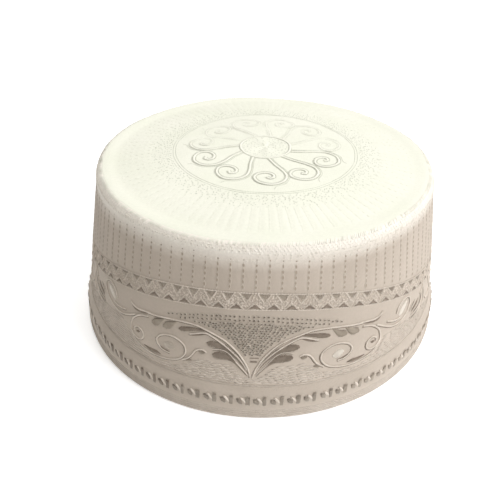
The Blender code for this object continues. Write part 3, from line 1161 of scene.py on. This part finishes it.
def whipShape():
    # a flattened tube along the roll's section, at the front
    places, around = [], whip["around"]
    path = [Vector(point) for point in whip["path"]]
    last = len(path) - 1
    for i, spot in enumerate(path):
        run = (path[min(i + 1, last)] - path[max(i - 1, 0)]).normalized()
        out = Vector((run.y, -run.x))
        angle = math.radians(whip["slant"] * (i / last - 0.5))
        turnX, turnY = math.sin(angle), -math.cos(angle)
        full = whip["ends"] if i in (0, last) else 1.0
        for across, up in circle(around):
            reach = spot + out * up * whip["thick"] / 2 * full
            aside = across * whip["width"] / 2 * full
            places.append(Vector((reach[0] * turnX - turnY * aside, reach[0] * turnY + turnX * aside,
                                  reach[1])) * mm)
    faces = [face[::-1] for face in tubeFaces(len(path), around)]
    faces += [tuple(range(around)), tuple(range(len(places) - 1, len(places) - 1 - around, -1))]
    return newShape("whipStitch", places, faces)


whipStitches = growPiece("whipStitches", newGuide("whipGuide", [Vector()]), roundRim, {
    "Stitch": whipShape(), "Count": whip["count"], "Unevenness": whip["unevenness"], "Seed": 61,
    "Thread": threads["cream"]})
dressPiece(whipStitches, "roll_thread")


def shoulderRing(degrees, lift, start):
    # a ring on the roll's round outside
    radius, height = rollSpot(degrees, lift)
    tilt = math.radians(degrees * 0.75)
    return closedRing(lambda turn: (Vector((*compass(turn, radius), height)) * mm,
                                    Vector((*compass(turn, math.cos(tilt)), math.sin(tilt))), (1, 1, 1)),
                      2.0, start)


for number, (degrees, slant) in enumerate(shoulder["rows"]):
    ring = shoulderRing(degrees, 0.02, 0.56 * (number % 2))
    sewLines("roll_thread", f"shoulderStitches{number + 1}", [ring], shoulder, "roll", seedStitch,
             62 + number, slant=slant, unevenness=0.35)

rimDip = {"columns": 190, "across": 0.9, "deep": 0.16, "heights": (74.6, 75.9, 77.1, 78.2), "loose": 0.3}


def rimDips():
    # a lattice of small dips where the side turns over to the top
    chance = random.Random(68)
    points = []
    loose = rimDip["loose"]
    for number, height in enumerate(rimDip["heights"]):
        for column in range(rimDip["columns"]):
            turn = (column + 0.5 * (number % 2) + chance.uniform(-loose, loose)) * 360.0 / rimDip["columns"]
            over = max(height - rollFoot, 0.0) / (cap["rollTop"] - rollFoot)
            out = (wallOut(turn) + Vector((0, 0, 1.1 * over))).normalized()
            height = height + chance.uniform(-loose, loose)
            size = rimDip["across"] * chance.uniform(0.6, 1.2)
            dip = wallStitch(turn, height, 0.0, 90, (size, size, rimDip["deep"]), skinRadius(height) + 0.02)
            points.append((dip[0], out, *dip[2:]))
    return points


sewSpots("roll_thread", "shoulderDips", rimDips(), "rimEyelet", eyelet, 69)
print("roll done")

# top: sewn rows, rings and the medallion
topRow = {"pitch": 2.7, "length": 2.1, "width": 0.45, "height": 0.2, "spans": (56.0, 65.0, 73.0),
          "ring": 73.9}
medallion = {"pitch": 0.8, "length": 1.5, "width": 1.5, "height": 0.34, "slant": 13.0, "petals": 11,
             "ring": 12.1, "wornBack": 0.25, "half": 0.95,
             "scroll": ((1.9, -13.2), (4.6, -18.6), (8.0, -24.0), (9.7, -29.0), (8.0, -34.0), (3.0, -36.7),
                        (-2.2, -35.0), (-4.6, -31.0), (-3.2, -27.7), (0.3, -26.4), (3.3, -27.6), (4.1, -30.0),
                        (2.6, -31.6), (1.2, -30.6)),
             "second": ((3.4, -12.8), (6.0, -18.0), (9.6, -23.6), (11.3, -29.0), (9.6, -34.9), (5.4, -38.0),
                        (4.6, -39.8))}
thin = {"pitch": 1.15, "length": 1.5, "width": 0.32, "height": 0.16, "slant": 5.0,
        "rings": (11.4, 12.8, 43.4, 44.6, 72.8, 74.6)}


def topLine(points, turn, lift):
    angle = math.radians(turn)
    line = []
    for across, y, share in rounded([(x / cap["degree"], y) for x, y in points]):
        x = across * cap["degree"]
        spot = (x * math.cos(angle) - y * math.sin(angle), x * math.sin(angle) + y * math.cos(angle))
        # threads at the back are worn flatter
        full = 1 - (1 - medallion["wornBack"]) * ease(spot[1], -12.0, 9.0)
        line.append(topPoint(*spot, lift * full, (1, 0.3 + 0.7 * full, full)))
    return line


def topRing(radius, lift):
    return closedRing(lambda turn: topPoint(*compass(turn, radius), lift), 3.0)


def petalLines(label, lift):
    chance = random.Random(70)
    lines = []
    for petal in range(medallion["petals"]):
        turn = petal * 360.0 / medallion["petals"] + chance.uniform(-1.5, 1.5)
        lines.append(topLine(medallion[label], turn, lift))
    return lines


def besideLine(line, aside):
    # the same line moved sideways on the top by that many mm
    moved = []
    for i, (place, out, size) in enumerate(line):
        run = line[min(i + 1, len(line) - 1)][0] - line[max(i - 1, 0)][0]
        moved.append((place + out.cross(run).normalized() * aside * mm, out, size))
    return moved


petals = petalLines("scroll", 0.07)
# the olive lines beside each petal cord, and the rings at 11.4 and 12.8 mm beside the ring cord, are painted
# shade of the cords' edges; the second lines and the other rings are olive thread lines
edges = [besideLine(line, aside) for line in petals for aside in (medallion["half"], -medallion["half"])]
edges += petalLines("second", 0.03) + [topRing(radius, 0.02) for radius in thin["rings"]]
petals.append(topRing(medallion["ring"], 0.06))
sewLines("top_cloth", "medallionCords", petals, medallion, "cream", cordStitch, 71)
sewLines("top_cloth", "medallionOutline", edges, thin, "olive", seedStitch, 72)

topRows = []
for row in range(cap["sewnRows"]):
    turn = row * 360.0 / cap["sewnRows"]
    topRows.append([topPoint(*compass(turn, radius), 0.02) for radius in topRow["spans"]])
topRows.append(topRing(topRow["ring"], 0.0))
sewLines("top_cloth", "topBackStitches", topRows, topRow, "cream", seedStitch, 73)

# loose seed stitches in circles of so many at a radius, and their length, width and height
sprinkle = {"inner": ((5, 1.6), (10, 3.4), (15, 5.2), (20, 7.0), (25, 8.7), (30, 10.2)),
            "outer": [(170 - 12 * step, 46.0 + 1.1 * step) for step in range(9)], "size": (0.85, 0.44, 0.18)}


def topSpots():
    chance = random.Random(74)
    points = []
    for count, radius in (*sprinkle["inner"], *sprinkle["outer"]):
        for spot in range(count):
            angle = 2 * math.pi * (spot + chance.uniform(0.0, 1.0)) / count
            reach = radius + chance.uniform(-0.5, 0.5)
            place, out, size = topPoint(reach * math.sin(angle), -reach * math.cos(angle), 0.03,
                                        sprinkle["size"])
            tilt = chance.uniform(0, 6.28)
            points.append((place, out, (math.cos(tilt), math.sin(tilt), 0), size))
    return points


sewSpots("top_cloth", "topStipple", topSpots(), "olive", seedStitch, 75)
print("top done")

for shape in (cordStitch, satinStitch, runStitch, seedStitch, eyelet):
    bpy.data.objects.remove(shape, do_unlink=True)

# floor, light and camera; the white round wall far behind is seen by the camera only, so it lights nothing
studio = {
    "floor": (0.93, 0.93, 0.925),
    "floorGlow": 0.34,
    "floorHalf": 4.0,
    "wallGlow": 1.1,
    "wallFar": 1.7,
    "wallTall": 2.6,
    "wallColumns": 72,
    "world": (1.0, 0.94, 0.87, 1.0),
    "worldGlow": 0.1,
    "key": {"place": (0.2, 0.6, 3.0), "size": 2.4, "energy": 90.0, "colour": (1.0, 1.0, 1.0)},
    "side": {"place": (2.32, -1.03, 1.6), "size": 1.6, "energy": 70.0, "colour": (0.94, 0.955, 1.0)},
}


def stagePiece(name, places, faces, glow):
    # a lit white surface, so that shadows stay faint
    colour = studio["floor"]
    material, tree, inputs, where = newMaterial(name, {
        "Roughness": 0.8, "Emission Color": (*colour, 1), "Emission Strength": glow})
    tone = mixColour(tree, noise(tree, where, 6.0, 2.0), colour, tuple(c * 0.985 for c in colour))
    tree.links.new(tone, inputs["Base Color"])
    mesh = bpy.data.meshes.new(name)
    mesh.from_pydata(places, [], faces)
    mesh.materials.append(material)
    return link(bpy.data.objects.new(name, mesh))


def aimed(thing, place, target):
    thing.location = place
    thing.rotation_euler = (Vector(target) - Vector(place)).to_track_quat("-Z", "Y").to_euler()
    return link(thing)


half = studio["floorHalf"]
corners = [(-half, -half, 0), (half, -half, 0), (half, half, 0), (-half, half, 0)]
floor = stagePiece("paleFloor", corners, [(0, 1, 2, 3)], studio["floorGlow"])
floor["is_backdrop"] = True

count = 2 * studio["wallColumns"]
ringPlaces = [(*compass(column * 360 / studio["wallColumns"], studio["wallFar"]), z)
              for column in range(studio["wallColumns"]) for z in (0.0, studio["wallTall"])]
ringFaces = [(i, i + 1, (i + 3) % count, (i + 2) % count) for i in range(0, count, 2)]
backdrop = stagePiece("paleBackdrop", ringPlaces, ringFaces, studio["wallGlow"])
for kind in ("diffuse", "glossy", "transmission", "volume_scatter", "shadow"):
    setattr(backdrop, "visible_" + kind, False)
backdrop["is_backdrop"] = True

world = bpy.data.worlds.new("studio")
world.use_nodes = True
background = world.node_tree.nodes["Background"].inputs
background["Color"].default_value = studio["world"]
background["Strength"].default_value = studio["worldGlow"]
bpy.context.scene.world = world
for label in ("key", "side"):
    light = bpy.data.lights.new(label + "Light", "AREA")
    light.energy = studio[label]["energy"]
    light.color = studio[label]["colour"]
    light.size = studio[label]["size"]
    aimed(bpy.data.objects.new(label + "Light", light), studio[label]["place"], (0, 0, 0.05))

# the photograph's viewpoint, mm and degrees
view = {"turn": 2.06, "rise": 31.775, "far": 299.9, "about": (0.0, 0.0, 43.19), "aim": (-4.98, -0.07, 23.72),
        "lens": 40.8}
rise = math.radians(view["rise"])
ray = Vector((*compass(view["turn"], math.cos(rise)), math.sin(rise)))
camera = bpy.data.objects.new("camera", bpy.data.cameras.new("camera"))
camera.data.lens = view["lens"]
camera.data.sensor_width = 36.0
camera.data.clip_start = 0.01
aimed(camera, (Vector(view["about"]) + ray * view["far"]) * mm, Vector(view["aim"]) * mm)
bpy.context.scene.camera = camera
bpy.context.scene.view_settings.view_transform = "Standard"
print("studio ready")

low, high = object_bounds()
